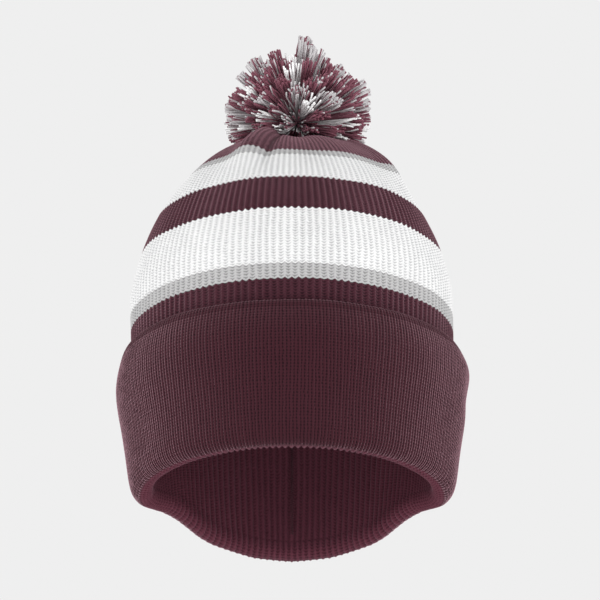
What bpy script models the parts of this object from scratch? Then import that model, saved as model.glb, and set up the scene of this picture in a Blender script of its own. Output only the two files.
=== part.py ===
"""Pom pom beanie: a striped double-layer knit hat with a turned-up cuff and a yarn pom pom tied to its crown.

Metres, +Z up. The origin is on the axis of the hat, in the plane of the rim that it stands on. The front faces -Y.
Every layer is a turned profile that is stretched front to back, because a head is longer than it is wide.
"""

import math

import bmesh
import bpy
from mathutils import Vector

# Driving dimensions
CUFF_HEIGHT = 0.076
CROWN_HEIGHT = 0.192
BODY_HALF_WIDTH = 0.0825
DEPTH_RATIO = 1.08
LAYER = 0.0022
GAP = 0.0003

# Body outline
RIM_TOP = 0.0033
RIM_BODY_HALF_WIDTH = 0.0764
TAPER_END = 0.086
DOME_START = 0.105
DOME_RISE_POWER = 1.45
DOME_WIDTH_POWER = 2.65
THREAD_HOLE = 0.0020

# Heights where one knitting yarn takes over from the next
GREY_LOWER_BOTTOM = 0.0881
WHITE_LOWER_BOTTOM = 0.0964
MAROON_STRIPE_BOTTOM = 0.1280
WHITE_UPPER_BOTTOM = 0.1479
GREY_UPPER_BOTTOM = 0.1651
CROWN_BOTTOM = 0.1696

# Cuff: (height, outer half width) from the rim to the hem
CUFF_OUTLINE = (
    (0.0033, 0.0814),
    (0.012, 0.0838),
    (0.038, 0.0878),
    (0.060, 0.0913),
    (0.069, 0.0901),
    (0.076, 0.0862),
)
HEM_BOTTOM = 0.0700

# Crown darts, closed by seams
DART_ANGLES = (-103, -13, 77, 167)
DART_GROOVE = 0.0012
DART_THREAD = 0.0008

# Pom pom and its tie
TIE_RADIUS = 0.0014
SWIVEL_BOTTOM = 0.1929
SWIVEL_TOP = 0.1946
NOD_PIVOT = 0.1963
LINK_TOP = 0.1977
SWAY_PIVOT = 0.1994
POM_CENTRE = 0.2055
POM_RADIUS = 0.0370
BINDING_RADIUS = 0.0052
TOP_TUFT_RADIUS = 0.0430
TUFT_HALF_ANGLE = 17.8
LOW_TUFTS, LOW_TUFT_RISE = 9, 9
HIGH_TUFTS, HIGH_TUFT_RISE = 6, 49
LOW_YARNS = ("maroon", "grey", "maroon", "white", "maroon", "grey", "maroon", "white", "grey")
HIGH_YARNS = ("grey", "maroon", "grey", "maroon", "white", "maroon")

# Tie end inside the crown, back seam and care label
DISC_RADIUS, DISC_THICKNESS = 0.0070, 0.0018
KNOT_RADIUS = 0.0032
BACK_SEAM_RADIUS = 0.0009
BACK_SEAM_HEIGHTS = (0.006, 0.150)
LABEL_SIZE = (0.025, 0.0006, 0.040)
LABEL_CENTRE = (0.016, 0.0790, 0.090)

RING_STEPS = 36
TUFT_STEPS = 12
MERGE = 0.00001

YARN_COLOURS = {
    "maroon": (0.070, 0.022, 0.034, 1),
    "grey": (0.48, 0.48, 0.48, 1),
    "white": (0.88, 0.88, 0.88, 1),
    "tie": (0.045, 0.015, 0.022, 1),
    "felt": (0.060, 0.020, 0.030, 1),
    "label": (0.86, 0.86, 0.85, 1),
}
YARN_ROUGHNESS = 0.9


def clear_scene():
    for found in list(bpy.data.objects):
        bpy.data.objects.remove(found)


def new_collection(name):
    made = bpy.data.collections.new(name)
    bpy.context.scene.collection.children.link(made)
    return made


def yarn_material(kind):
    found = bpy.data.materials.get(kind)
    if found:
        return found
    made = bpy.data.materials.new(kind)
    made.use_nodes = True
    surface = made.node_tree.nodes["Principled BSDF"]
    surface.inputs["Base Color"].default_value = YARN_COLOURS[kind]
    surface.inputs["Roughness"].default_value = YARN_ROUGHNESS
    surface.inputs["Metallic"].default_value = 0.0
    return made


def even_steps(start, end, count):
    return [start + (end - start) * i / (count - 1) for i in range(count)]


def cuff_half_width(height):
    """Outer half width of the cuff, on straight lines between the points of its outline."""
    for (low, low_width), (high, high_width) in zip(CUFF_OUTLINE, CUFF_OUTLINE[1:]):
        if height <= high:
            share = max(0.0, (height - low) / (high - low))
            return low_width + (high_width - low_width) * share
    return CUFF_OUTLINE[-1][1]


def body_half_width(height):
    """Outer half width of the knit tube: it narrows to the rim, is straight above the cuff and domes to the crown."""
    if height < TAPER_END:
        share = (TAPER_END - height) / (TAPER_END - RIM_TOP)
        return BODY_HALF_WIDTH - (BODY_HALF_WIDTH - RIM_BODY_HALF_WIDTH) * share**1.5
    if height < DOME_START:
        return BODY_HALF_WIDTH
    rise = min(1.0, (height - DOME_START) / (CROWN_HEIGHT - DOME_START))
    return BODY_HALF_WIDTH * (1 - rise**DOME_RISE_POWER) ** (1 / DOME_WIDTH_POWER)


def dome_height(half_width):
    """Height where the dome has this outer half width: the inverse of body_half_width above DOME_START."""
    share = 1 - (half_width / BODY_HALF_WIDTH) ** DOME_WIDTH_POWER
    return DOME_START + (CROWN_HEIGHT - DOME_START) * share ** (1 / DOME_RISE_POWER)


def inset(half_width, height, depth):
    """The point this far inside the body's outer surface, as (half width, height)."""
    step = 0.0002
    if half_width > BODY_HALF_WIDTH * 0.6:
        slope = (body_half_width(height + step) - body_half_width(height - step)) / (2 * step)
        along = Vector((slope, 1))
    else:
        drop = (dome_height(half_width + step) - dome_height(half_width - step)) / (2 * step)
        along = Vector((-1, -drop))
    along.normalize()
    return half_width - depth * along.y, height + depth * along.x


def body_path(bottom, top, count):
    """Points on the body's outer surface from one height to another, top first."""
    return [(body_half_width(z), z) for z in even_steps(top, bottom, count)]


def dome_path(bottom, count):
    """Points from the thread hole down the dome to a height, even in half width where the dome is flat."""
    widths = even_steps(THREAD_HOLE, body_half_width(bottom), count)
    return [(width, dome_height(width)) for width in widths]


def layer_outline(path, outer_depth, inner_depth):
    """Closed outline of a knit layer between two depths under a path that runs top to bottom."""
    outer = [inset(width, z, outer_depth) for width, z in path]
    inner = [inset(width, z, inner_depth) for width, z in path]
    return outer + inner[::-1]


def turned(name, outline, kind, collection, steps=RING_STEPS, depth_ratio=DEPTH_RATIO, closed=True):
    """A solid turned about Z from (half width, height) points, outer side first and running down."""
    mesh = bpy.data.meshes.new(name)
    edges = [(i, i + 1) for i in range(len(outline) - 1)]
    if closed:
        edges.append((len(outline) - 1, 0))
    mesh.from_pydata([(width, 0, z) for width, z in outline], edges, [])
    mesh.materials.append(yarn_material(kind))
    made = bpy.data.objects.new(name, mesh)
    collection.objects.link(made)
    made.scale = (1, depth_ratio, 1)
    turn = made.modifiers.new("turn", "SCREW")
    turn.steps = turn.render_steps = steps
    turn.use_merge_vertices = True
    turn.merge_threshold = MERGE
    turn.use_smooth_shade = True
    return made


def tube(name, points, radius, kind, collection):
    """A round cord through points, as a curve with filled caps."""
    data = bpy.data.curves.new(name, "CURVE")
    data.dimensions = "3D"
    data.bevel_depth = radius
    data.bevel_resolution = 2
    data.use_fill_caps = True
    spline = data.splines.new("POLY")
    spline.points.add(len(points) - 1)
    for spot, point in zip(spline.points, points):
        spot.co = (*point, 1)
    data.materials.append(yarn_material(kind))
    made = bpy.data.objects.new(name, data)
    collection.objects.link(made)
    return made


def as_cutter(curve, collection):
    """The curve's own shape as a closed mesh that can cut, in place of the curve."""
    bpy.context.view_layer.update()
    evaluated = curve.evaluated_get(bpy.context.evaluated_depsgraph_get())
    mesh = bpy.data.meshes.new_from_object(evaluated)
    work = bmesh.new()
    work.from_mesh(mesh)
    bmesh.ops.remove_doubles(work, verts=work.verts, dist=MERGE)
    bmesh.ops.recalc_face_normals(work, faces=work.faces)
    work.to_mesh(mesh)
    work.free()
    made = bpy.data.objects.new(curve.name + "_cutter", mesh)
    made.matrix_world = curve.matrix_world
    made.hide_render = True
    made.display_type = "WIRE"
    collection.objects.link(made)
    bpy.data.objects.remove(curve)
    return made


def cut(body, cutter):
    boolean = body.modifiers.new("cut " + cutter.name, "BOOLEAN")
    boolean.operation = "DIFFERENCE"
    boolean.solver = "EXACT"
    boolean.object = cutter


def around(angle, half_width, height):
    """The point of a stretched ring at an angle in degrees, 0 at +X and -90 at the front."""
    turn = math.radians(angle)
    return (half_width * math.cos(turn), DEPTH_RATIO * half_width * math.sin(turn), height)


def build_shell(collection):
    """The outer knit layer: one node for each yarn, from the rim up."""
    layer = (0.0, LAYER)
    half = GAP / 2
    bands = (
        ("body_band_maroon", "maroon", RIM_TOP, GREY_LOWER_BOTTOM - half, 6),
        ("stripe_grey_lower", "grey", GREY_LOWER_BOTTOM + half, WHITE_LOWER_BOTTOM - half, 2),
        ("stripe_white_lower", "white", WHITE_LOWER_BOTTOM + half, MAROON_STRIPE_BOTTOM - half, 4),
        ("stripe_maroon", "maroon", MAROON_STRIPE_BOTTOM + half, WHITE_UPPER_BOTTOM - half, 4),
        ("stripe_white_upper", "white", WHITE_UPPER_BOTTOM + half, GREY_UPPER_BOTTOM - half, 4),
        ("stripe_grey_upper", "grey", GREY_UPPER_BOTTOM + half, CROWN_BOTTOM - half, 2),
    )
    for name, kind, bottom, top, count in bands:
        turned(name, layer_outline(body_path(bottom, top, count), *layer), kind, collection)


def build_crown(collection, cutters):
    """The gathered maroon cap, with a groove along each dart and the seam thread lying in it."""
    path = dome_path(CROWN_BOTTOM + GAP / 2, 8)
    crown = turned("crown_cap", layer_outline(path, 0.0, LAYER), "maroon", collection)
    for number, angle in enumerate(DART_ANGLES, 1):
        widths = even_steps(0.009, 0.062, 9)
        groove = [around(angle, width, dome_height(width)) for width in widths]
        cut(crown, as_cutter(tube(f"dart_{number}", groove, DART_GROOVE, "maroon", cutters), cutters))
        widths = even_steps(0.0105, 0.054, 8)
        thread = [around(angle, width, dome_height(width)) for width in widths]
        tube(f"crown_seam_{number}", thread, DART_THREAD, "maroon", collection)


def build_lining(collection):
    """The inner knit layer, rim to crown, with its back seam and the blank care label sewn beside it."""
    path = dome_path(0.160, 7) + body_path(RIM_TOP, 0.145, 9)
    turned("lining", layer_outline(path, LAYER + GAP, 2 * LAYER + GAP), "maroon", collection)
    depth = 2 * LAYER + 2 * GAP + BACK_SEAM_RADIUS
    points = []
    for height in even_steps(*BACK_SEAM_HEIGHTS, 14):
        width, z = inset(body_half_width(height), height, depth)
        points.append(around(90, width, z))
    tube("back_seam", points, BACK_SEAM_RADIUS, "maroon", collection)
    bpy.ops.mesh.primitive_cube_add(size=1, location=LABEL_CENTRE)
    label = bpy.context.object
    label.name = label.data.name = "care_label"
    label.scale = LABEL_SIZE
    label.rotation_euler = (0, 0, math.radians(-11))
    label.data.materials.append(yarn_material("label"))
    move_to(label, collection)


def move_to(thing, collection):
    for owner in list(thing.users_collection):
        owner.objects.unlink(thing)
    collection.objects.link(thing)


def build_cuff(collection):
    """The turned-up cuff: outer face, inner face, folded hem on top and the roll at the rim."""
    heights = even_steps(HEM_BOTTOM - GAP, RIM_TOP, 9)
    for name, depth in (("cuff_face", 0.0), ("cuff_backing", LAYER + GAP)):
        outer = [(cuff_half_width(z) - depth, z) for z in heights]
        inner = [(width - LAYER, z) for width, z in outer]
        turned(name, outer + inner[::-1], "maroon", collection)
    top = cuff_half_width(CUFF_HEIGHT)
    base = cuff_half_width(HEM_BOTTOM)
    inner = body_half_width(CUFF_HEIGHT) + GAP
    hem = [
        (inner + 0.0006, CUFF_HEIGHT + 0.0004),
        (top - 0.0012, CUFF_HEIGHT + 0.0004),
        (top, CUFF_HEIGHT - 0.0012),
        (base, HEM_BOTTOM),
        (base - 2 * LAYER - GAP, HEM_BOTTOM),
        (inner, CUFF_HEIGHT - 0.0022),
    ]
    turned("cuff_hem", hem, "maroon", collection)
    inside = RIM_BODY_HALF_WIDTH - 2 * LAYER - GAP
    outside = cuff_half_width(RIM_TOP)
    top = RIM_TOP - GAP
    roll = [
        (outside, top),
        (outside - 0.0006, 0.0013),
        (outside - 0.0022, 0.0),
        (inside + 0.0022, 0.0),
        (inside + 0.0006, 0.0013),
        (inside, top),
    ]
    turned("rim_fold", roll, "maroon", collection)


def build_tie(collection):
    """The pom pom's tie: knot and backing disc under the crown, thread through it, swivel and link above it."""
    under_lining = CROWN_HEIGHT - 2 * LAYER - 2 * GAP - 0.0001
    disc_bottom = under_lining - DISC_THICKNESS
    hole = TIE_RADIUS + GAP
    disc = [
        (DISC_RADIUS, under_lining),
        (DISC_RADIUS, disc_bottom),
        (hole, disc_bottom),
        (hole, under_lining),
    ]
    turned("tie_backing_disc", disc, "felt", collection, 24, 1)
    knot_top = disc_bottom - GAP
    bpy.ops.mesh.primitive_uv_sphere_add(
        segments=14, ring_count=8, radius=KNOT_RADIUS, location=(0, 0, knot_top - KNOT_RADIUS)
    )
    knot = bpy.context.object
    knot.name = knot.data.name = "tie_knot"
    knot.data.materials.append(yarn_material("tie"))
    knot.data.shade_smooth()
    move_to(knot, collection)
    round_bar("tie_thread", knot_top + GAP, SWIVEL_BOTTOM - GAP, collection)
    round_bar("tie_swivel", SWIVEL_BOTTOM, SWIVEL_TOP, collection)
    link = ball_end(NOD_PIVOT)
    link.insert(0, (TIE_RADIUS, LINK_TOP))
    link.insert(0, (0, LINK_TOP))
    turned("tie_link", link, "tie", collection, TUFT_STEPS, 1, closed=False)


def round_bar(name, bottom, top, collection):
    outline = [(0, top), (TIE_RADIUS, top), (TIE_RADIUS, bottom), (0, bottom)]
    turned(name, outline, "tie", collection, TUFT_STEPS, 1, closed=False)


def ball_end(pivot):
    """Outline of a half ball under a pivot, so that the piece above it can turn about the pivot in place."""
    angles = [math.radians(angle) for angle in (0, 30, 60, 90)]
    return [(TIE_RADIUS * math.cos(a), pivot - TIE_RADIUS * math.sin(a)) for a in angles[:-1]] + [
        (0, pivot - TIE_RADIUS)
    ]


def build_pompom(collection):
    """The binding that cinches the yarn at its middle, and one solid for each tuft of yarn."""
    angles = [math.radians(angle) for angle in even_steps(0, 150, 7)]
    ball = [(BINDING_RADIUS * math.sin(a), POM_CENTRE + BINDING_RADIUS * math.cos(a)) for a in angles]
    ball[0] = (0, POM_CENTRE + BINDING_RADIUS)
    turned("pom_binding", ball + ball_end(SWAY_PIVOT), "tie", collection, TUFT_STEPS, 1, closed=False)
    low = [tuft_direction(360 * i / LOW_TUFTS - 90, LOW_TUFT_RISE) for i in range(LOW_TUFTS)]
    high = [tuft_direction(360 * i / HIGH_TUFTS - 70, HIGH_TUFT_RISE) for i in range(HIGH_TUFTS)]
    tufts = [(kind, direction, POM_RADIUS) for kind, direction in zip(LOW_YARNS + HIGH_YARNS, low + high)]
    tufts.append(("grey", Vector((0, 0, 1)), TOP_TUFT_RADIUS))
    count = {}
    for kind, direction, length in tufts:
        count[kind] = count.get(kind, 0) + 1
        name = f"pom_tuft_{kind}_{count[kind]}"
        tuft = turned(name, tuft_outline(length), kind, collection, TUFT_STEPS, 1, closed=False)
        tuft.location = (0, 0, POM_CENTRE)
        tuft.rotation_euler = direction.to_track_quat("Z", "Y").to_euler()


def tuft_direction(angle, rise):
    turn, up = math.radians(angle), math.radians(rise)
    return Vector((math.cos(turn) * math.cos(up), math.sin(turn) * math.cos(up), math.sin(up)))


def tuft_outline(length):
    """Outline of a ball's sector about its own Z axis: a cone of yarn with a domed outer end."""
    edge = math.radians(TUFT_HALF_ANGLE)
    dome = [(length * math.sin(a), length * math.cos(a)) for a in even_steps(0, edge, 4)]
    start = BINDING_RADIUS + GAP
    return dome + [(start * math.tan(edge), start), (0, start)]


def main():
    clear_scene()
    beanie = new_collection("pom_pom_beanie")
    cutters = new_collection("cutters")
    cutters.hide_render = True
    build_shell(beanie)
    build_crown(beanie, cutters)
    build_lining(beanie)
    build_cuff(beanie)
    build_tie(beanie)
    build_pompom(beanie)


main()
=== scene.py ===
"""Look of the pom pom beanie: rib knit layers, folded cuff and a pom pom of cut yarn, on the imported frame.

Lengths are in metres. Angles round the hat are measured from +X, so that the front is at -90 degrees.
"""

import math
from collections import namedtuple

import bpy
import numpy as np
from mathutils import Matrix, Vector


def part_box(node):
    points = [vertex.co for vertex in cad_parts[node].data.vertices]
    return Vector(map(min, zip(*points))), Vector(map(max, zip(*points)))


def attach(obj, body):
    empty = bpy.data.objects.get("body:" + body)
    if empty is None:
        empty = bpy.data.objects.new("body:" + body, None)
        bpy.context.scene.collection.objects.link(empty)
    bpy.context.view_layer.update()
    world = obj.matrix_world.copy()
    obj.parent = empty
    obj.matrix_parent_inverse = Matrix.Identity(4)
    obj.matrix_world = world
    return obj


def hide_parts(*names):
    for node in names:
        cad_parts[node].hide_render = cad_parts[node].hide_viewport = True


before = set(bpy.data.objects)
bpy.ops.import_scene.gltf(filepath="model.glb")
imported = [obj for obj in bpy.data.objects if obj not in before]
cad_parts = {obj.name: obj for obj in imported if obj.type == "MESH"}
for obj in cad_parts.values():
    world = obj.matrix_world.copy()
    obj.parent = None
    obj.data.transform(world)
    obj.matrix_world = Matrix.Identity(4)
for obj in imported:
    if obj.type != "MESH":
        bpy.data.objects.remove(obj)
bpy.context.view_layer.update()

MM = 0.001
SEED = 7

# The hat's outline, as in the CAD
CROWN_HEIGHT = 0.192
BODY_HALF_WIDTH = 0.0825
DEPTH_RATIO = 1.08
LAYER = 0.0022
GAP = 0.0003
RIM_TOP = 0.0033
RIM_NARROWING = 0.0061
TAPER_END = 0.086
DOME_START = 0.105
DOME_RISE_POWER = 1.45
DOME_WIDTH_POWER = 2.65

# Cuff outline in mm, (half width, height), from the hem's inner edge round the fold to the lining
CUFF_OUTLINE = (
    (82.8, 71.8),
    (82.9, 74.4),
    (84.0, 75.9),
    (85.9, 75.6),
    (87.4, 73.4),
    (88.3, 70.0),
    (89.6, 64.0),
    (90.3, 57.0),
    (89.4, 47.0),
    (87.6, 37.0),
    (85.6, 24.0),
    (84.4, 14.0),
    (83.5, 8.0),
    (82.0, 3.2),
    (79.0, 0.4),
    (75.6, -0.1),
    (72.8, 1.6),
    (71.7, 4.6),
    (72.1, 8.5),
)
HEM_END_HEIGHT = 71.0
FACE_END_HEIGHT = 9.0
FOLD_BOTTOM_HALF_WIDTH = 0.0775

# Rim seen from behind: it dips at the back seam and lifts on both sides of it (degrees from the back, lift)
RIM_WAVE = (
    (0, -0.0068),
    (15, -0.0057),
    (24, -0.0034),
    (32, -0.0015),
    (37, 0.0006),
    (42, 0.0036),
    (47, 0.0062),
    (52, 0.0075),
    (58, 0.0076),
    (66, 0.0056),
    (76, 0.0024),
    (90, 0.0),
    (180, 0.0),
)
RIM_WAVE_HEIGHT = 0.070

# Knitting
BODY_RIBS = 142
CUFF_RIBS = 150
BODY_ROW = 0.00156
CUFF_ROW = 0.00165
COLUMNS_PER_RIB = 8
LINING_COLUMNS_PER_RIB = 6
BACKING_COLUMNS_PER_RIB = 4
BODY_RIB_DEPTH = 0.00027
CUFF_RIB_DEPTH = 0.00017
LINING_RIB_DEPTH = 0.00055
ROW_STEP = 0.00096
LINING_ROW_STEP = 0.0022
SCALLOP = 0.00042

# Yarn changes up the body: (piece, yarn, bottom, top)
BANDS = (
    ("body_band_maroon", "maroon", 0.0085, 0.0881),
    ("stripe_grey_lower", "grey", 0.0881, 0.0964),
    ("stripe_white_lower", "white", 0.0964, 0.1280),
    ("stripe_maroon", "maroon", 0.1280, 0.1479),
    ("stripe_white_upper", "white", 0.1479, 0.1651),
    ("stripe_grey_upper", "grey", 0.1651, 0.1696),
    ("crown_cap", "maroon", 0.1696, 0.19195),
)
# The two narrow grey stripes, which build_body's loop passes over after building their
# knit. Too narrow to be declared alone: each goes with the stripe above it
NARROW_STRIPES = ("stripe_grey_lower", "stripe_grey_upper")

# Crown darts, in degrees
DARTS = (-103, -13, 77, 167)

# Colours, linear
MAROON_SHADE = (0.012, 0.002, 0.005)
PLAIN = (1, 1, 1)
Look = namedtuple("Look", "base shade sheen sheen_roughness sheen_tint")
KNITS = {
    "maroon": Look((0.050, 0.0115, 0.0195), MAROON_SHADE, 0.68, 0.45, (0.75, 0.42, 0.50)),
    # The lining is the same maroon yarn as the outside, its colour lightened as painted light for the shaded
    # inside.
    "lining": Look((0.108, 0.0275, 0.0435), (0.026, 0.0040, 0.0085), 0.26, 0.45, (0.75, 0.45, 0.55)),
    "cuff": Look((0.038, 0.0064, 0.0120), (0.010, 0.0016, 0.0040), 0.88, 0.40, (1.0, 0.60, 0.70)),
    "hem": Look((0.038, 0.0064, 0.0120), (0.010, 0.0016, 0.0040), 0.35, 0.40, (1.0, 0.60, 0.70)),
    "grey": Look((0.46, 0.455, 0.458), (0.18, 0.18, 0.18), 0.15, 0.45, PLAIN),
    "white": Look((0.76, 0.76, 0.76), (0.40, 0.40, 0.41), 0.10, 0.45, PLAIN),
}
CUT_YARNS = {
    "maroon": Look((0.225, 0.078, 0.108), (0.065, 0.016, 0.027), 0.68, 0.40, (0.75, 0.42, 0.50)),
    "grey": Look((0.60, 0.58, 0.59), (0.30, 0.27, 0.28), 0.15, 0.40, PLAIN),
    "white": Look((0.95, 0.95, 0.95), (0.75, 0.75, 0.75), 0.10, 0.40, PLAIN),
}

# Pom pom
POM_CORE = (0.003, 0.0, 0.2050)
POM_RADIUS = 0.0372
CLUMPS = 120
STRAND_RADIUS = 0.00042
TUFT_SPREAD = (0.118, 0.034)
STRAY_SHARE = {"maroon": 0.12, "grey": 0.28, "white": 0.0}
SHORT_STRANDS = 420
SHORT_LENGTH = (0.013, 0.026)
SKIRT_STRANDS = 260
SKIRT_LENGTH = (0.009, 0.019)

# View
FLOOR_SIZE = 40
FLOOR_HEIGHT = -7
VIEW_DOWN = 19.6
VIEW_DISTANCE = 5.0
VIEW_CENTRE = (0.0041, 0.0073)
LENS = 583


# ---------------------------------------------------------------- materials


class Nodes:
    """A short way to write a material's node tree."""

    def __init__(self, name):
        self.material = bpy.data.materials.new(name)
        self.material.use_nodes = True
        self.tree = self.material.node_tree
        self.shader = self.tree.nodes["Principled BSDF"]

    def add(self, kind, inputs=(), **settings):
        node = self.tree.nodes.new(kind)
        for key, value in settings.items():
            setattr(node, key, value)
        for key, value in dict(inputs).items():
            self.feed(node.inputs[key], value)
        return node

    def feed(self, socket, value):
        if isinstance(value, bpy.types.NodeSocket):
            self.tree.links.new(value, socket)
        else:
            socket.default_value = value

    def math(self, operation, a, b=0.0):
        return self.add("ShaderNodeMath", {0: a, 1: b}, operation=operation).outputs[0]

    def arch(self, value, fall):
        """A round profile: 1 in the middle, falling towards the edges."""
        square = self.math("POWER", value, 2.0)
        return self.math("SQRT", self.math("SUBTRACT", 1.0, self.math("MULTIPLY", square, fall)))

    def clamp(self, value):
        return self.math("MINIMUM", self.math("MAXIMUM", value, 0.0), 1.0)

    def sum(self, *weighted):
        """The sum of (value, weight) pairs."""
        total = 0.0
        for value, weight in weighted:
            total = self.math("ADD", total, self.math("MULTIPLY", value, weight))
        return total

    def paint(self, look, share, roughness):
        """Yarn colour, from its base at share 0 to its shade at share 1."""
        self.set(Base_Color=self.mix(share, look.base, look.shade), Roughness=roughness)
        self.shader.inputs["Sheen Tint"].default_value = (*look.sheen_tint, 1)

    def mix(self, share, a, b):
        node = self.add("ShaderNodeMix", data_type="RGBA")
        self.feed(node.inputs[0], share)
        for socket, value in ((node.inputs[6], a), (node.inputs[7], b)):
            self.feed(socket, (*value, 1) if isinstance(value, tuple) else value)
        return node.outputs[2]

    def ramp(self, value, low, high, to_low=0.0, to_high=1.0):
        node = self.add("ShaderNodeMapRange", {0: value, 1: low, 2: high, 3: to_low, 4: to_high})
        node.interpolation_type = "SMOOTHSTEP"
        return node.outputs[0]

    def noise(self, scale, detail=2.0, vector=None):
        inputs = {"Scale": scale, "Detail": detail}
        if vector is not None:
            inputs["Vector"] = vector
        return self.add("ShaderNodeTexNoise", inputs).outputs[0]

    def place(self):
        return self.add("ShaderNodeTexCoord").outputs["Object"]

    def bump(self, height, distance, strength=1.0):
        node = self.add("ShaderNodeBump", {"Height": height, "Distance": distance, "Strength": strength})
        self.feed(self.shader.inputs["Normal"], node.outputs[0])

    def set(self, **values):
        for key, value in values.items():
            self.feed(self.shader.inputs[key.replace("_", " ")], value)


def knit_material(name, knit, wales_per_mark=2, stitch_depth=0.0005, contrast=1.0):
    """Knit stitches from the UV map, where one unit is one wale across and one row up.

    The gaps lie in the furrows of rib knit (one for two wales), or beside every wale of fine knit; gaps,
    furrows and the lines between rows are darkened with painted shade.
    """
    look = KNITS[knit]
    n = Nodes(name)
    uv = n.add("ShaderNodeUVMap", uv_map="stitches").outputs[0]
    parts = n.add("ShaderNodeSeparateXYZ", {0: uv})
    wobble = n.math("MULTIPLY", n.math("SUBTRACT", n.noise(330.0, 2.0, n.place()), 0.5), 0.85)
    scaled = n.math("DIVIDE", n.math("ADD", parts.outputs[0], wobble), float(wales_per_mark))
    across = n.math("FRACT", n.math("ADD", scaled, 0.5))
    from_middle = n.math("MULTIPLY", n.math("ABSOLUTE", n.math("SUBTRACT", across, 0.5)), 2.0)
    up = n.math("ADD", n.math("ADD", parts.outputs[1], wobble), n.math("MULTIPLY", from_middle, 0.5))
    row = n.math("FRACT", up)
    from_row = n.math("MULTIPLY", n.math("ABSOLUTE", n.math("SUBTRACT", row, 0.5)), 2.0)
    round_wale = n.arch(from_middle, 0.95)
    round_loop = n.arch(from_row, 0.9)
    height = n.math("ADD", n.math("MULTIPLY", round_wale, 0.55), n.math("MULTIPLY", round_loop, 0.45))
    # Masks for painted shade: holes between stitches and rib furrows; below, small holes and lines between
    # rows.
    hole = n.math("MULTIPLY", n.ramp(from_middle, 0.45, 0.9), n.ramp(from_row, 0.2, 0.75))
    furrow = n.ramp(from_middle, 0.5, 1.0)
    beside = n.math("FRACT", n.math("ADD", n.math("ADD", parts.outputs[0], wobble), 0.5))
    from_wale = n.math("MULTIPLY", n.math("ABSOLUTE", n.math("SUBTRACT", beside, 0.5)), 2.0)
    small_hole_shade = n.math("MULTIPLY", n.ramp(from_wale, 0.35, 0.95), n.ramp(from_row, 0.2, 0.75))
    fibre = n.noise(2600.0, 3.0, n.place())
    heather = n.noise(90.0, 3.0, n.place())
    between_rows_shade = n.ramp(from_row, 0.45, 1.0)
    # Painted shade in holes, furrows and between rows, plus random fibre and heather tone, pulls the base
    # towards the shade colour.
    dark = n.sum(
        (hole, 0.6 * contrast),
        (furrow, 0.18 * contrast),
        (between_rows_shade, 0.15 * contrast),
        (small_hole_shade, 0.5 * contrast),
        (n.math("SUBTRACT", fibre, 0.5), 0.9 * contrast),
        (n.math("SUBTRACT", heather, 0.5), 0.3 * contrast),
    )
    share = n.clamp(dark)
    n.paint(look, share, 0.85)
    fuzz_left = n.math("MULTIPLY", n.math("SUBTRACT", 1.0, share), look.sheen)
    n.set(Sheen_Weight=fuzz_left, Sheen_Roughness=look.sheen_roughness, Specular_IOR_Level=0.15)
    fuzz = n.math("MULTIPLY", fibre, 0.22)
    n.bump(n.math("ADD", height, fuzz), stitch_depth)
    return n.material


def yarn_material(name, yarn):
    """Cut yarn: painted shade darkens it towards the root, each strand its own tone, with fine twisted
    fibres.
    """
    look = CUT_YARNS[yarn]
    n = Nodes(name)
    tone = n.add("ShaderNodeAttribute", attribute_name="tone").outputs["Fac"]
    along = n.add("ShaderNodeAttribute", attribute_name="along").outputs["Fac"]
    fibre = n.noise(1800.0, 3.0, n.place())
    # Painted shade towards the root, where the strands shade each other; tone and fibres are the yarn's own.
    root = n.ramp(along, 0.1, 0.6, 0.5, 0.0)
    dark = n.sum((root, 1.0), (n.math("SUBTRACT", tone, 0.35), 0.55), (n.math("SUBTRACT", fibre, 0.5), 0.7))
    n.paint(look, n.clamp(dark), 0.8)
    n.set(Sheen_Weight=look.sheen, Sheen_Roughness=look.sheen_roughness, Specular_IOR_Level=0.2)
    n.bump(fibre, 0.0002)
    return n.material


def cord_material(name, knit):
    n = Nodes(name)
    fibre = n.noise(1500.0, 3.0, n.place())
    n.paint(KNITS[knit], n.math("SUBTRACT", 1.0, fibre), 0.7)
    n.set(Sheen_Weight=0.2)
    n.bump(fibre, 0.0001)
    return n.material


def felt_material(name):
    n = Nodes(name)
    mat = n.noise(700.0, 6.0, n.place())
    n.set(Base_Color=n.mix(mat, KNITS["maroon"].shade, KNITS["maroon"].base), Roughness=0.95)
    n.set(Sheen_Weight=0.6)
    n.bump(mat, 0.0003)
    return n.material


def satin_material(name):
    n = Nodes(name)
    stretch = n.add("ShaderNodeVectorMath", {0: n.place(), 1: (1.0, 1.0, 0.08)}, operation="MULTIPLY")
    warp = n.noise(9000.0, 2.0, stretch.outputs[0])
    n.set(Base_Color=n.mix(warp, (0.74, 0.74, 0.72), (0.86, 0.86, 0.85)), Roughness=0.38)
    n.bump(warp, 0.00008)
    return n.material


# ---------------------------------------------------------------- outlines


def body_half_width(height):
    z = np.asarray(height, float)
    narrow = np.clip((TAPER_END - z) / (TAPER_END - RIM_TOP), 0, None)
    rise = np.clip((z - DOME_START) / (CROWN_HEIGHT - DOME_START), 0, 1)
    straight = BODY_HALF_WIDTH - RIM_NARROWING * narrow**1.5
    return straight * (1 - rise**DOME_RISE_POWER) ** (1 / DOME_WIDTH_POWER)


def dome_height(half_width):
    share = 1 - (np.asarray(half_width) / BODY_HALF_WIDTH) ** DOME_WIDTH_POWER
    return DOME_START + (CROWN_HEIGHT - DOME_START) * share ** (1 / DOME_RISE_POWER)


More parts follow.
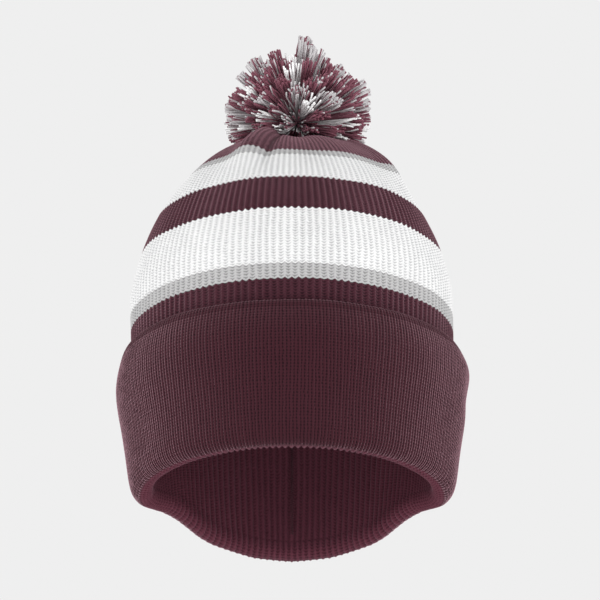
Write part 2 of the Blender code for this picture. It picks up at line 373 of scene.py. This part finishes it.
class Outline:
    """A curve of (half width, height) points, measured by the distance along it."""

    def __init__(self, points):
        self.points = np.asarray(points, float)
        steps = np.linalg.norm(np.diff(self.points, axis=0), axis=1)
        self.along = np.concatenate([[0], np.cumsum(steps)])
        self.length = self.along[-1]
        slope = np.gradient(self.points, self.along, axis=0)
        slope /= np.linalg.norm(slope, axis=1)[:, None]
        self.normals = np.stack([slope[:, 1], -slope[:, 0]], axis=1)

    def at(self, along):
        return [np.interp(along, self.along, self.points[:, i]) for i in (0, 1)]

    def normal(self, along):
        return [np.interp(along, self.along, self.normals[:, i]) for i in (0, 1)]

    def where(self, height):
        """Distance along at a height, on an outline that only rises."""
        return float(np.interp(height, self.points[:, 1], self.along))


def body_outline():
    low = np.linspace(0.0060, 0.160, 300)
    widths = np.linspace(float(body_half_width(0.160)), 0.0004, 200)[1:]
    points = list(zip(body_half_width(low), low)) + list(zip(widths, dome_height(widths)))
    return Outline(points)


def lining_outline(body):
    """The lining's inner face: the body's outline moved in by two layers."""
    depth = 2 * LAYER + GAP
    width, height = body.at(body.along)
    side, rise = body.normal(body.along)
    points = np.stack([width - depth * side, height - depth * rise], axis=1)
    points = points[(points[:, 0] > 0.0004) & (points[:, 1] > 0.0085)]
    return Outline(np.vstack([[0.0721, 0.0085], points]))


def rounded(points, times=4):
    """Corner cutting: each pass takes a quarter off both ends of every straight run."""
    points = np.asarray(points, float)
    for _ in range(times):
        a, b = points[:-1], points[1:]
        cut = np.stack([0.75 * a + 0.25 * b, 0.25 * a + 0.75 * b], axis=1).reshape(-1, 2)
        points = np.vstack([points[:1], cut, points[-1:]])
    return points


def smooth_step(low, high, value):
    share = np.clip((value - low) / (high - low), 0, 1)
    return share * share * (3 - 2 * share)


def angle_gap(angle, other):
    return (angle - other + np.pi) % (2 * np.pi) - np.pi


def rim_lift(angle, height):
    """How far the rim rises here, fading out up the cuff."""
    from_back = np.degrees(np.abs(angle_gap(angle, np.pi / 2)))
    wave = np.interp(from_back, *zip(*RIM_WAVE))
    return wave * (1 - smooth_step(0.0, RIM_WAVE_HEIGHT, height))


def dart_relief(angle, height):
    """A crease along each dart, with the knit piled up on its left and drawn flat on its right."""
    grow = smooth_step(0.150, 0.176, height)
    total = 0.0
    for dart in DARTS:
        gap = angle_gap(angle, math.radians(dart))
        crease = -0.0024 * np.exp(-((gap / 0.05) ** 2))
        pile = 0.0040 * np.exp(-(((gap + 0.20) / 0.14) ** 2))
        flat = -0.0026 * np.exp(-(((gap - 0.30) / 0.30) ** 2))
        total = total + crease + pile + flat
    return total * grow


def side_bulge(angle, height):
    """The knit pushed out near the top of the cuff on the right, and drawn in just below."""
    pushed = 0.0019 * np.exp(-(((height - 0.0670) / 0.0060) ** 2))
    drawn = 0.0009 * np.exp(-(((height - 0.0520) / 0.0080) ** 2))
    return (pushed - drawn) * np.exp(-((angle_gap(angle, 0.0) / 0.40) ** 2))


def softness(angle, height):
    """Slow unevenness of soft knit, a fraction of a millimetre."""
    a = np.sin(3 * angle + 31 * height + 0.4) + 0.6 * np.sin(7 * angle - 47 * height + 2.1)
    b = 0.5 * np.sin(13 * angle + 90 * height) + 0.4 * np.sin(5 * angle + 160 * height + 1.0)
    return 0.00028 * (a + b)


# ---------------------------------------------------------------- knit layers


def finish_piece(obj, material, body, nodes):
    obj.data.materials.clear()
    obj.data.materials.append(material)
    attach(obj, body)
    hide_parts(*nodes)
    return obj


def grid_object(name, points, wales, rows):
    """A mesh closed round the hat, from points[row, column], with its stitches as a UV map."""
    count_rows, count_columns = points.shape[:2]
    mesh = bpy.data.meshes.new(name)
    index = np.arange(count_rows * count_columns).reshape(count_rows, count_columns)
    after = np.roll(index, -1, axis=1)
    quads = np.stack([index[:-1], after[:-1], after[1:], index[1:]], axis=-1).reshape(-1, 4)
    mesh.from_pydata(points.reshape(-1, 3).tolist(), [], quads.tolist())
    across = np.broadcast_to(wales, (count_rows - 1, count_columns))
    step = wales[1] - wales[0]
    left, right = across, across + step
    low, high = rows[:-1], rows[1:]
    low_right, high_right = np.roll(low, -1, axis=1), np.roll(high, -1, axis=1)
    corner = [(left, low), (right, low_right), (right, high_right), (left, high)]
    uv = np.stack([np.stack(c, axis=-1) for c in corner], axis=2)
    layer = mesh.uv_layers.new(name="stitches")
    layer.data.foreach_set("uv", uv.reshape(-1))
    mesh.shade_smooth()
    obj = bpy.data.objects.new(name, mesh)
    bpy.context.scene.collection.objects.link(obj)
    return obj


def scallop(angle, ribs):
    """The zigzag where two yarns meet: one tooth for each rib."""
    turns = angle * ribs / (2 * np.pi)
    share = turns % 1.0
    uneven = 1 + 0.5 * np.sin(np.floor(turns) * 7.31)
    return SCALLOP * uneven * (1 - 4 * np.abs(share - 0.5))


def knit_layer(
    name, outline, span, ribs, columns_per_rib, row_step, row, relief, edges=(0, 0), inside=False
):
    """A band of rib knit over a span of distances along an outline.

    relief(angle, width, height) is how far it stands off the outline. edges says which ends are zigzag.
    """
    start, end = span
    columns = ribs * columns_per_rib
    angle = np.arange(columns) * 2 * np.pi / columns - np.pi / 2
    count = max(3, int(round(abs(end - start) / row_step)) + 1)
    share = np.linspace(0, 1, count)[:, None]
    zigzag = scallop(angle, ribs)[None, :]
    along = start + (end - start) * share + zigzag * (edges[0] * (1 - share) + edges[1] * share)
    width, height = outline.at(along)
    side, rise = outline.normal(along)
    angles = np.broadcast_to(angle, width.shape)
    out = relief(angles, width, height)
    radius = width + side * out
    z = height + rise * out + rim_lift(angles, height)
    turned = angles + wander(angles, height)
    points = np.stack([radius * np.cos(turned), DEPTH_RATIO * radius * np.sin(turned), z], axis=-1)
    wales = np.arange(columns) * 2.0 / columns_per_rib
    rows = along / row
    if inside:
        points, rows = points[::-1], rows[::-1]
    return grid_object(name, points, wales, rows)


def rib_wave(angle, ribs):
    share = (angle + np.pi / 2) * ribs
    number = np.floor(share / (2 * np.pi) + 0.5)
    uneven = 1 + 0.3 * np.sin(number * 12.9898)
    return uneven * (0.8 * np.cos(share) + 0.35 * np.cos(2 * share))


def wander(angle, height):
    """Ribs lean a little this way and that on their way up."""
    return 0.0022 * np.sin(9 * angle + 60 * height) + 0.0016 * np.sin(17 * angle - 110 * height + 1.7)


def build_body(body, materials):
    def relief(angle, width, height):
        shrink = np.clip(width / 0.060, 0.12, 1) * (1 - 0.8 * smooth_step(0.160, 0.176, height))
        ribs = BODY_RIB_DEPTH * shrink * rib_wave(angle, BODY_RIBS)
        return ribs + dart_relief(angle, height) + softness(angle, height)

    for name, yarn, bottom, top in BANDS:
        edges = (bottom > 0.05, top < 0.19)
        piece = knit_layer(
            name + "_knit",
            body,
            (body.where(bottom), body.where(top)),
            BODY_RIBS,
            COLUMNS_PER_RIB,
            ROW_STEP,
            BODY_ROW,
            relief,
            edges,
        )
        finish_piece(piece, materials[yarn], "hat", [name])
        if name in NARROW_STRIPES:
            continue
        low, high = body.at(np.array([body.where(bottom), body.where(top)]))[0]
        tall = body.where(top) - body.where(bottom)


def build_lining(body, materials):
    outline = lining_outline(body)

    def relief(angle, width, height):
        shrink = np.clip(width / 0.050, 0.12, 1)
        ribs = LINING_RIB_DEPTH * shrink * np.cos((angle + np.pi / 2) * CUFF_RIBS)
        return -ribs + 0.7 * dart_relief(angle, height) + 0.5 * softness(angle, height)

    piece = knit_layer(
        "lining_knit",
        outline,
        (0.0, outline.length),
        CUFF_RIBS,
        LINING_COLUMNS_PER_RIB,
        LINING_ROW_STEP,
        CUFF_ROW,
        relief,
        inside=True,
    )
    finish_piece(piece, materials["lining"], "hat", ["lining"])
    return outline


def build_cuff(materials):
    outline = Outline(rounded(np.array(CUFF_OUTLINE) * MM))
    width, height = outline.points[:, 0], outline.points[:, 1]
    outer = width > 0.0810
    hem_end = outline.along[np.argmax((height < HEM_END_HEIGHT * MM) & (width > 0.088))]
    face_end = outline.along[np.argmax((height < FACE_END_HEIGHT * MM) & outer)]

    def relief(angle, width, height):
        wave = (angle + np.pi / 2) * CUFF_RIBS
        fine = CUFF_RIB_DEPTH * (np.cos(2 * wave) + 0.35 * np.cos(wave))
        inner = 1 - smooth_step(0.0740, 0.0800, width)
        uneven = softness(angle, height)
        outer_relief = -fine - 0.6 * uneven - side_bulge(angle, height)
        inner_relief = -LINING_RIB_DEPTH * np.cos(wave) + 0.5 * uneven
        return outer_relief * (1 - inner) + inner_relief * inner

    pieces = (
        ("cuff_hem_knit", 0.0, hem_end, "cuff_hem", ROW_STEP * 0.6),
        ("cuff_face_knit", hem_end, face_end, "cuff_face", ROW_STEP),
        ("rim_fold_knit", face_end, outline.length, "rim_fold", ROW_STEP * 0.8),
    )
    for name, start, end, node, step in pieces:
        piece = knit_layer(
            name,
            outline,
            (start, end),
            CUFF_RIBS,
            COLUMNS_PER_RIB,
            step,
            CUFF_ROW,
            relief,
            inside=True,
        )
        knit = materials["hem" if node == "cuff_hem" else "cuff"]
        finish_piece(piece, knit, "hat", [node])
        if node == "rim_fold":
            paint_inner_half(piece, materials["lining"])
        if node == "cuff_hem":
            continue
    build_backing(outline, materials)


def paint_inner_half(fold, material):
    """The fold's inner half shows the lining's side of the knit, in the lining material, whose lightened
    colour is painted light.
    """
    fold.data.materials.append(material)
    for face in fold.data.polygons:
        reach = math.hypot(face.center[0], face.center[1] / DEPTH_RATIO)
        if reach < FOLD_BOTTOM_HALF_WIDTH:
            face.material_index = 1


def build_backing(outline, materials):
    """The cuff's inner face, which lies against the body."""
    heights = np.linspace(0.0700, 0.0100, 40)
    face = outline.points[outline.points[:, 0] > 0.0815]
    order = np.argsort(face[:, 1])
    widths = np.interp(heights, face[order, 1], face[order, 0]) - 2 * LAYER - GAP
    back = Outline(np.stack([widths, heights], axis=1))

    def relief(angle, width, height):
        return CUFF_RIB_DEPTH * np.cos((angle + np.pi / 2) * CUFF_RIBS)

    piece = knit_layer(
        "cuff_backing_knit",
        back,
        (0.0, back.length),
        CUFF_RIBS,
        BACKING_COLUMNS_PER_RIB,
        LINING_ROW_STEP,
        CUFF_ROW,
        relief,
    )
    finish_piece(piece, materials["lining"], "hat", ["cuff_backing"])


# ---------------------------------------------------------------- seams, tie and label


def curve_object(name, lines, radius, material, resolution=2):
    data = bpy.data.curves.new(name, "CURVE")
    data.dimensions = "3D"
    data.bevel_depth = radius
    data.bevel_resolution = resolution
    data.use_fill_caps = True
    for line in lines:
        spline = data.splines.new("POLY")
        spline.points.add(len(line) - 1)
        for spot, point in zip(spline.points, line):
            spot.co = (*point, 1)
    data.materials.append(material)
    obj = bpy.data.objects.new(name, data)
    bpy.context.scene.collection.objects.link(obj)
    return obj


def on_outline(outline, angle, along, out=0.0):
    width, height = outline.at(along)
    side, rise = outline.normal(along)
    extra = out + dart_relief(angle, height)
    radius = width + side * extra
    z = height + rise * extra + rim_lift(angle, height)
    return radius * math.cos(angle), DEPTH_RATIO * radius * math.sin(angle), z


def build_crown_seams(body, materials):
    """The thread that closes each dart, sunk in its crease."""
    for number, dart in enumerate(DARTS, 1):
        start, end = body.where(0.1725), body.length - 0.008
        line = []
        for i, along in enumerate(np.linspace(start, end, 60)):
            angle = math.radians(dart) + 0.010 * (-1) ** i
            line.append(on_outline(body, angle, along, -0.0002))
        seam = curve_object(f"crown_seam_{number}_thread", [line], 0.0005, materials["cord"])
        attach(seam, "hat")
        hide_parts(f"crown_seam_{number}")


def build_back_seam(lining, materials):
    """A low ridge up the back of the lining, overcast with thread."""
    stretch = np.linspace(0.004, lining.where(0.150), 260)
    middle = [on_outline(lining, math.pi / 2, along, -0.0004) for along in stretch]
    overcast = []
    for i, along in enumerate(stretch):
        angle = math.pi / 2 + (0.011 if i % 2 else -0.011)
        overcast.append(on_outline(lining, angle, along, -0.0009))
    seam = curve_object("back_seam_thread", [middle, overcast], 0.00022, materials["seam"])
    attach(seam, "hat")
    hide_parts("back_seam")


def build_label(materials):
    """A blank satin label, sewn on along its top edge and curling a little."""
    low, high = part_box("care_label")
    centre = [(a + b) / 2 for a, b in zip(low, high)]
    half_width, top, length = 0.0122, high[2] - 0.0005, 0.039
    tilt = math.radians(-11)
    points, faces = [], []
    across_count, down_count = 13, 25
    for j in range(down_count):
        down = j / (down_count - 1)
        for i in range(across_count):
            across = i / (across_count - 1) * 2 - 1
            curl = -0.0022 * down**2 + 0.0007 * math.cos(across * 2.2) - 0.0004 * math.sin(down * 7)
            x = centre[0] + half_width * across * math.cos(tilt) - curl * math.sin(tilt)
            y = centre[1] + half_width * across * math.sin(tilt) + curl * math.cos(tilt)
            points.append((x, y, top - length * down))
    for j in range(down_count - 1):
        for i in range(across_count - 1):
            corner = j * across_count + i
            faces.append((corner, corner + 1, corner + across_count + 1, corner + across_count))
    mesh = bpy.data.meshes.new("care_label_satin")
    mesh.from_pydata(points, [], faces)
    mesh.shade_smooth()
    label = bpy.data.objects.new("care_label_satin", mesh)
    bpy.context.scene.collection.objects.link(label)
    thick = label.modifiers.new("thickness", "SOLIDIFY")
    thick.thickness = 0.0002
    finish_piece(label, materials["satin"], "hat", ["care_label"])


def plied(bottom, top, radius, turns):
    """Three plies twisted round the Z axis."""
    lines = []
    for ply in range(3):
        line = []
        for t in np.linspace(0, 1, 14):
            angle = 2 * math.pi * (turns * t + ply / 3)
            reach = radius * 0.55
            line.append((reach * math.cos(angle), reach * math.sin(angle), bottom + (top - bottom) * t))
        lines.append(line)
    return lines


def build_tie(materials):
    for node, body in (("tie_thread", "hat"), ("tie_swivel", "tie_swivel"), ("tie_link", "tie_link")):
        low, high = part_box(node)
        height = high[2] - low[2]
        lines = plied(low[2] + 0.0001, high[2] - 0.0001, 0.0014, height / 0.004)
        tie = curve_object(node + "_plies", lines, 0.00062, materials["cord"])
        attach(tie, body)
        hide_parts(node)
    low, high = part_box("tie_knot")
    middle = (low[2] + high[2]) / 2
    loop = []
    for t in np.linspace(0, 2 * math.pi, 90):
        reach = 0.0012 + 0.0007 * math.cos(3 * t)
        loop.append((reach * math.cos(2 * t), reach * math.sin(2 * t), middle + 0.0013 * math.sin(3 * t)))
    knot = curve_object("tie_knot_cord", [loop], 0.0009, materials["cord"])
    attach(knot, "hat")
    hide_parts("tie_knot")
    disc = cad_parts["tie_backing_disc"]
    disc.data.materials.clear()
    disc.data.materials.append(materials["felt"])
    windings = []
    for turn in range(7):
        spin = math.pi * turn / 7
        ring = []
        for t in np.linspace(0, 2 * math.pi, 33):
            spread, rise = 0.0050 * math.cos(t), 0.0046 * math.sin(t)
            ring.append((spread * math.cos(spin), spread * math.sin(spin), 0.2045 + rise))
        windings.append(ring)
    binding = curve_object("pom_binding_windings", windings, 0.0007, materials["cord"])
    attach(binding, "pom_pom")
    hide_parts("pom_binding")


# ---------------------------------------------------------------- pom pom

# Tufts that stand out: (yarn, degrees round from +X, degrees up, length in mm, strands)
STRIKING_TUFTS = (
    ("grey", -78, 66, 44.8, 45),
    ("grey", -70, 54, 41.5, 24),
    ("grey", -149, 48, 40.9, 36),
    ("grey", -123, 38, 38.0, 27),
    ("grey", -158, 35, 39.4, 33),
    ("grey", -170, 11, 38.3, 36),
    ("grey", -167, -1, 37.4, 30),
    ("grey", -38, 39, 36.9, 33),
    ("grey", -14, 23, 40.8, 39),
    ("grey", -14, 11, 38.9, 39),
    ("grey", -55, 2, 36.8, 30),
    ("grey", -84, 9, 36.7, 21),
    ("grey", -1, -20, 36.5, 27),
    ("white", -82, -5, 34.5, 15),
    ("white", -98, 32, 37.9, 12),
    ("white", -138, 13, 36.9, 12),
    ("white", -126, -10, 35.0, 12),
    ("white", -32, -8, 36.9, 13),
    ("white", -35, -28, 35.0, 10),
    ("maroon", -124, 58, 39.6, 24),
    ("maroon", -21, -8, 36.8, 30),
    ("maroon", -138, 5, 37.1, 33),
    ("maroon", 180, -20, 34.3, 21),
    ("maroon", -65, 23, 36.7, 30),
    ("maroon", -103, 18, 36.5, 33),
    ("maroon", -29, 27, 38.5, 27),
)


def direction(round_angle, up_angle):
    a, e = math.radians(round_angle), math.radians(up_angle)
    return np.array([math.cos(a) * math.cos(e), math.sin(a) * math.cos(e), math.sin(e)])


def side_directions(axis):
    reference = np.array([0.0, 0.0, 1.0]) if abs(axis[2]) < 0.9 else np.array([1.0, 0.0, 0.0])
    first = np.cross(axis, reference)
    first /= np.linalg.norm(first)
    return first, np.cross(axis, first)


def clumps(random):
    """Every tuft as (yarn, axis, length, strands): the striking ones, then filler between them."""
    made = []
    for yarn, round_angle, up_angle, length, strands in STRIKING_TUFTS:
        made.append((yarn, direction(round_angle, up_angle), length * MM, strands))
    taken = [axis for _, axis, _, _ in made]
    golden = math.pi * (3 - math.sqrt(5))
    for i in range(CLUMPS):
        up = 1 - (i + 0.5) / CLUMPS * 1.52
        out = math.sqrt(1 - up * up)
        axis = np.array([math.cos(golden * i) * out, math.sin(golden * i) * out, up])
        axis += random.normal(0, 0.07, 3)
        axis /= np.linalg.norm(axis)
        if max(float(axis @ other) for other in taken) > math.cos(math.radians(8)):
            continue
        yarn = random.choice(["maroon", "grey", "white"], p=[0.67, 0.22, 0.11])
        strands = int(random.integers(5, 9)) if yarn == "white" else int(random.integers(20, 30))
        made.append((yarn, axis, random.normal(POM_RADIUS, 0.0012), strands))
    return made


def crown_clearance(points, lift):
    """Strands that would enter the crown lie along it instead."""
    reach = np.hypot(points[..., 0], points[..., 1] / DEPTH_RATIO)
    floor = dome_height(np.minimum(reach, 0.080)) + lift
    points[..., 2] = np.maximum(points[..., 2], floor)
    return points


def strand_paths(random):
    """Centre lines of all strands, by yarn: each fans out from the core and waves a little."""
    paths = {"maroon": [], "grey": [], "white": []}
    steps = np.linspace(0.08, 1, 8)
    for yarn, axis, length, strands in clumps(random):
        first, second = side_directions(axis)
        flat = random.uniform(0, math.pi)
        for _ in range(strands):
            wide = random.uniform(-1, 1) * TUFT_SPREAD[0]
            narrow = random.normal(0, TUFT_SPREAD[1])
            lean = (wide * math.cos(flat) - narrow * math.sin(flat)) * first
            lean = lean + (wide * math.sin(flat) + narrow * math.cos(flat)) * second
            aim = axis + lean
            aim /= np.linalg.norm(aim)
            reach = length * random.uniform(0.955, 1.015)
            wave = random.normal(0, 0.0013, 2)
            phase = random.uniform(0, 6.28)
            line = np.array(POM_CORE) + aim * (reach * steps)[:, None]
            line += first * (wave[0] * np.sin(5 * steps + phase) * steps)[:, None]
            line += second * (wave[1] * np.sin(4 * steps + phase) * steps)[:, None]
            stray = random.random() < STRAY_SHARE[yarn]
            own = {"maroon": "grey", "grey": "maroon"}[yarn] if stray else yarn
            paths[own].append(crown_clearance(line, random.uniform(0.0008, 0.0035)))
    short = [(random.uniform(-0.25, 1), SHORT_LENGTH) for _ in range(SHORT_STRANDS)]
    skirt = [(random.uniform(-0.8, -0.2), SKIRT_LENGTH) for _ in range(SKIRT_STRANDS)]
    for up, lengths in short + skirt:
        round_angle = random.uniform(0, 2 * math.pi)
        out = math.sqrt(1 - up * up)
        aim = np.array([out * math.cos(round_angle), out * math.sin(round_angle), up])
        line = np.array(POM_CORE) + aim * (random.uniform(*lengths) * steps)[:, None]
        yarn = random.choice(list(CUT_YARNS), p=[0.62, 0.23, 0.15])
        paths[yarn].append(crown_clearance(line, random.uniform(0.0004, 0.0025)))
    return {yarn: np.array(lines) for yarn, lines in paths.items()}


def strands_object(name, paths, random, material):
    """One mesh of all strands: each a five-sided tube, thicker towards its frayed end."""
    sides = 5
    count, steps = paths.shape[:2]
    tangent = np.gradient(paths, axis=1)
    tangent /= np.linalg.norm(tangent, axis=2)[..., None]
    reference = np.where(np.abs(tangent[..., 2:3]) < 0.9, [0.0, 0.0, 1.0], [1.0, 0.0, 0.0])
    first = np.cross(tangent, reference)
    first /= np.linalg.norm(first, axis=2)[..., None]
    second = np.cross(tangent, first)
    thick = STRAND_RADIUS * random.uniform(0.75, 1.25, (count, 1)) * np.linspace(0.8, 1.1, steps)
    turn = np.arange(sides) * 2 * np.pi / sides
    ring = first[:, :, None] * np.cos(turn)[:, None] + second[:, :, None] * np.sin(turn)[:, None]
    points = paths[:, :, None] + ring * thick[:, :, None, None]
    index = np.arange(count * steps * sides).reshape(count, steps, sides)
    after = np.roll(index, -1, axis=2)
    quads = np.stack([index[:, :-1], after[:, :-1], after[:, 1:], index[:, 1:]], axis=-1).reshape(-1, 4)
    caps = np.concatenate([index[:, 0, ::-1], index[:, -1]])
    mesh = bpy.data.meshes.new(name)
    mesh.from_pydata(points.reshape(-1, 3).tolist(), [], quads.tolist() + caps.tolist())
    tone = np.repeat(random.uniform(0, 1, count), steps * sides)
    along = np.tile(np.repeat(np.linspace(0, 1, steps), sides), count)
    for key, values in (("tone", tone), ("along", along)):
        mesh.attributes.new(key, "FLOAT", "POINT").data.foreach_set("value", values.astype(np.float32))
    mesh.shade_smooth()
    obj = bpy.data.objects.new(name, mesh)
    bpy.context.scene.collection.objects.link(obj)
    mesh.materials.append(material)
    return obj


def build_pompom(materials):
    random = np.random.default_rng(SEED)
    for yarn, paths in strand_paths(random).items():
        obj = strands_object(f"pom_yarn_{yarn}", paths, random, materials["yarn_" + yarn])
        nodes = [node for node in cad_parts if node.startswith("pom_tuft_" + yarn)]
        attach(obj, "pom_pom")
        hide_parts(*nodes)


# ---------------------------------------------------------------- stage and view


def build_stage():
    world = bpy.data.worlds.new("studio")
    bpy.context.scene.world = world
    world.use_nodes = True
    surface = world.node_tree.nodes["Background"]
    surface.inputs[0].default_value = (0.863, 0.863, 0.863, 1)
    surface.inputs[1].default_value = 1.0
    bpy.ops.mesh.primitive_plane_add(size=FLOOR_SIZE, location=(0, 0, FLOOR_HEIGHT))
    floor = bpy.context.object
    floor.name = "studio_floor"
    n = Nodes("pale_floor")
    grain = n.noise(3.0, 4.0, n.place())
    n.set(Base_Color=n.mix(grain, (0.84, 0.84, 0.84), (0.88, 0.88, 0.88)), Roughness=0.9)
    floor.data.materials.append(n.material)


def add_area(name, place, target, size, watts):
    data = bpy.data.lights.new(name, "AREA")
    data.shape = "DISK"
    data.size = size
    data.energy = watts
    lamp = bpy.data.objects.new(name, data)
    bpy.context.scene.collection.objects.link(lamp)
    lamp.location = place
    aim = Vector(target) - Vector(place)
    lamp.rotation_euler = aim.to_track_quat("-Z", "Y").to_euler()


def build_lights():
    middle = (0, 0, 0.11)
    add_area("key", (-0.4, -1.7, 0.9), middle, 1.2, 5)
    add_area("fill", (0.8, -1.5, 0.1), middle, 1.2, 3)
    add_area("left", (-1.6, -0.3, 0.25), middle, 1.0, 9)
    add_area("right", (1.6, -0.3, 0.25), middle, 1.0, 9)
    add_area("under", (0.0, -1.2, -1.1), (0, 0.03, 0.03), 1.0, 11)


def build_camera():
    down = math.radians(VIEW_DOWN)
    towards_camera = Vector((0, -math.cos(down), -math.sin(down)))
    up = Vector((0, -math.sin(down), math.cos(down)))
    target = Vector((0, 0, 0.100)) + Vector((VIEW_CENTRE[0], 0, 0)) + up * VIEW_CENTRE[1]
    data = bpy.data.cameras.new("camera")
    data.lens = LENS
    data.sensor_width = 36
    camera = bpy.data.objects.new("camera", data)
    bpy.context.scene.collection.objects.link(camera)
    camera.location = target + towards_camera * VIEW_DISTANCE
    camera.rotation_euler = (-towards_camera).to_track_quat("-Z", "Y").to_euler()
    data.clip_end = 50
    bpy.context.scene.camera = camera


def main():
    materials = {yarn: knit_material(yarn + "_knit", yarn) for yarn in CUT_YARNS}
    materials["cuff"] = knit_material("maroon_cuff_knit", "cuff", 1, 0.00035, 1.0)
    materials["hem"] = knit_material("maroon_hem_knit", "hem", 1, 0.00035, 1.0)
    # The lining's lightened colour is painted light for the shaded inside.
    materials["lining"] = knit_material("maroon_lining_knit", "lining", 2, 0.0005, 0.8)
    for yarn in CUT_YARNS:
        materials["yarn_" + yarn] = yarn_material(yarn + "_cut_yarn", yarn)
    materials["cord"] = cord_material("tie_cord", "maroon")
    # The seam thread takes the lining's lightened colour, painted light.
    materials["seam"] = cord_material("seam_thread", "lining")
    materials["felt"] = felt_material("felt")
    materials["satin"] = satin_material("label_satin")
    body = body_outline()
    build_body(body, materials)
    lining = build_lining(body, materials)
    build_cuff(materials)
    build_crown_seams(body, materials)
    build_back_seam(lining, materials)
    build_label(materials)
    build_tie(materials)
    build_pompom(materials)
    build_stage()
    build_lights()
    build_camera()
    bpy.context.scene.view_settings.view_transform = "Standard"


main()
